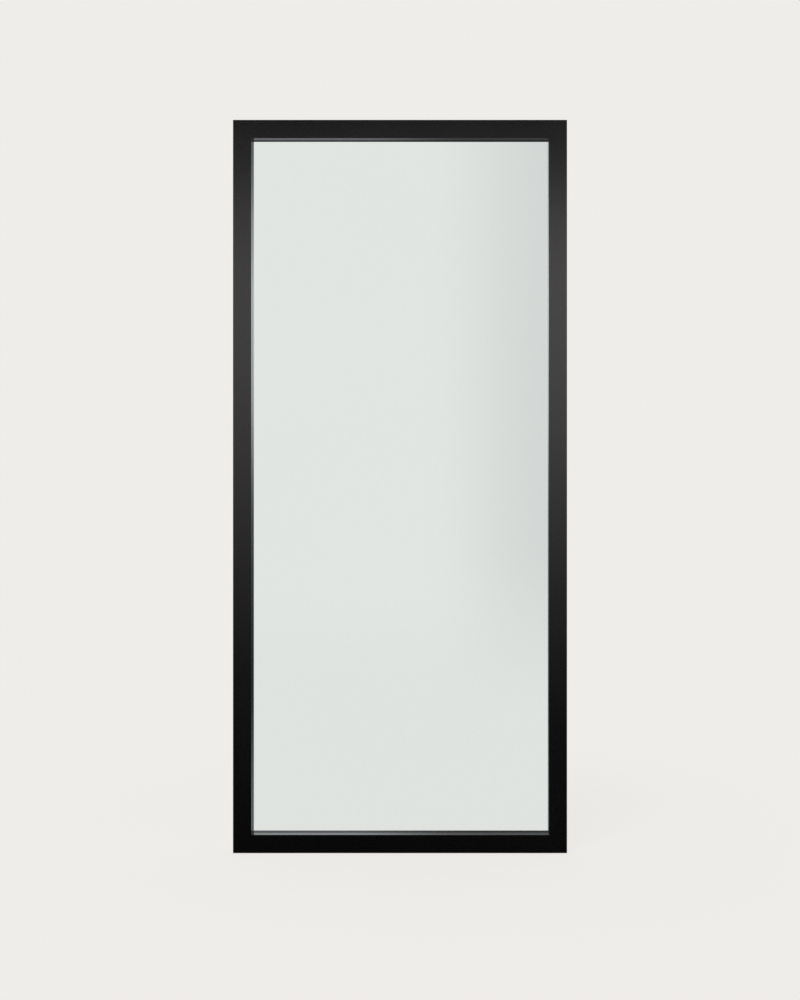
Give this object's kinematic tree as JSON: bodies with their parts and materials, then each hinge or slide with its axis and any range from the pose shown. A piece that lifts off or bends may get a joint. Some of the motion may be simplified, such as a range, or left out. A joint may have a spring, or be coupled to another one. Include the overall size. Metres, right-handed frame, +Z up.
{
  "type": "leaning floor mirror",
  "caption": "Tall upright mirror in a plain black mitred frame that leans on a wall or hangs from rings on its back.",
  "frame": {"origin": "on the floor, under the middle of the mirror's width and depth", "axes": "+Z up along the height, the glass faces -Y, +X to the right of someone who looks into the mirror"},
  "size_m": [0.82, 0.048, 1.8015],
  "materials": {
    "black_lacquer": "satin",
    "beech": "matte",
    "zinc_steel": "satin",
    "zinc_wire": "satin",
    "screw_steel": "satin",
    "bumper_rubber": "matte",
    "pad_rubber": "matte",
    "block_rubber": "matte",
    "tape_foam": "matte",
    "sheet_foam": "matte",
    "silvered_glass": "polished",
    "hardboard": "matte"
  },
  "bodies": {
    "mirror": {"top_rail": "black_lacquer", "bottom_rail": "black_lacquer", "left_stile": "black_lacquer", "right_stile": "black_lacquer", "biscuit_bottom_left": "beech", "corner_plate_bottom_left": "zinc_steel", "wall_bumper_bottom_left": "bumper_rubber", "biscuit_bottom_right": "beech", "corner_plate_bottom_right": "zinc_steel", "wall_bumper_bottom_right": "bumper_rubber", "biscuit_top_right": "beech", "corner_plate_top_right": "zinc_steel", "wall_bumper_top_right": "bumper_rubber", "biscuit_top_left": "beech", "corner_plate_top_left": "zinc_steel", "wall_bumper_top_left": "bumper_rubber", "glazing_tape_top": "tape_foam", "glazing_tape_bottom": "tape_foam", "glazing_tape_left": "tape_foam", "glazing_tape_right": "tape_foam", "mirror_glass": "silvered_glass", "backing_foam": "sheet_foam", "back_panel": "hardboard", "setting_blocks": "block_rubber", "top_spacers": "block_rubber", "side_spacers": "block_rubber", "left_hanger_strap": "zinc_steel", "floor_pad_left": "pad_rubber", "right_hanger_strap": "zinc_steel", "floor_pad_right": "pad_rubber", "corner_plate_screws": "screw_steel", "back_panel_screws": "screw_steel", "hanger_screws": "screw_steel", "bumper_screws": "screw_steel"},
    "left_ring": {"left_hanger_ring": "zinc_wire"},
    "right_ring": {"right_hanger_ring": "zinc_wire"}
  },
  "joints": [
    {"name": "left_ring_swing", "type": "hinge", "parent": "mirror", "child": "left_ring", "pos_m": [-0.396, 0.01853, 1.4415], "axis": [1, 0, 0], "range_deg": [0, 178]},
    {"name": "right_ring_swing", "type": "hinge", "parent": "mirror", "child": "right_ring", "pos_m": [0.396, 0.01853, 1.4415], "axis": [1, 0, 0], "range_deg": [0, 178]}
  ]
}
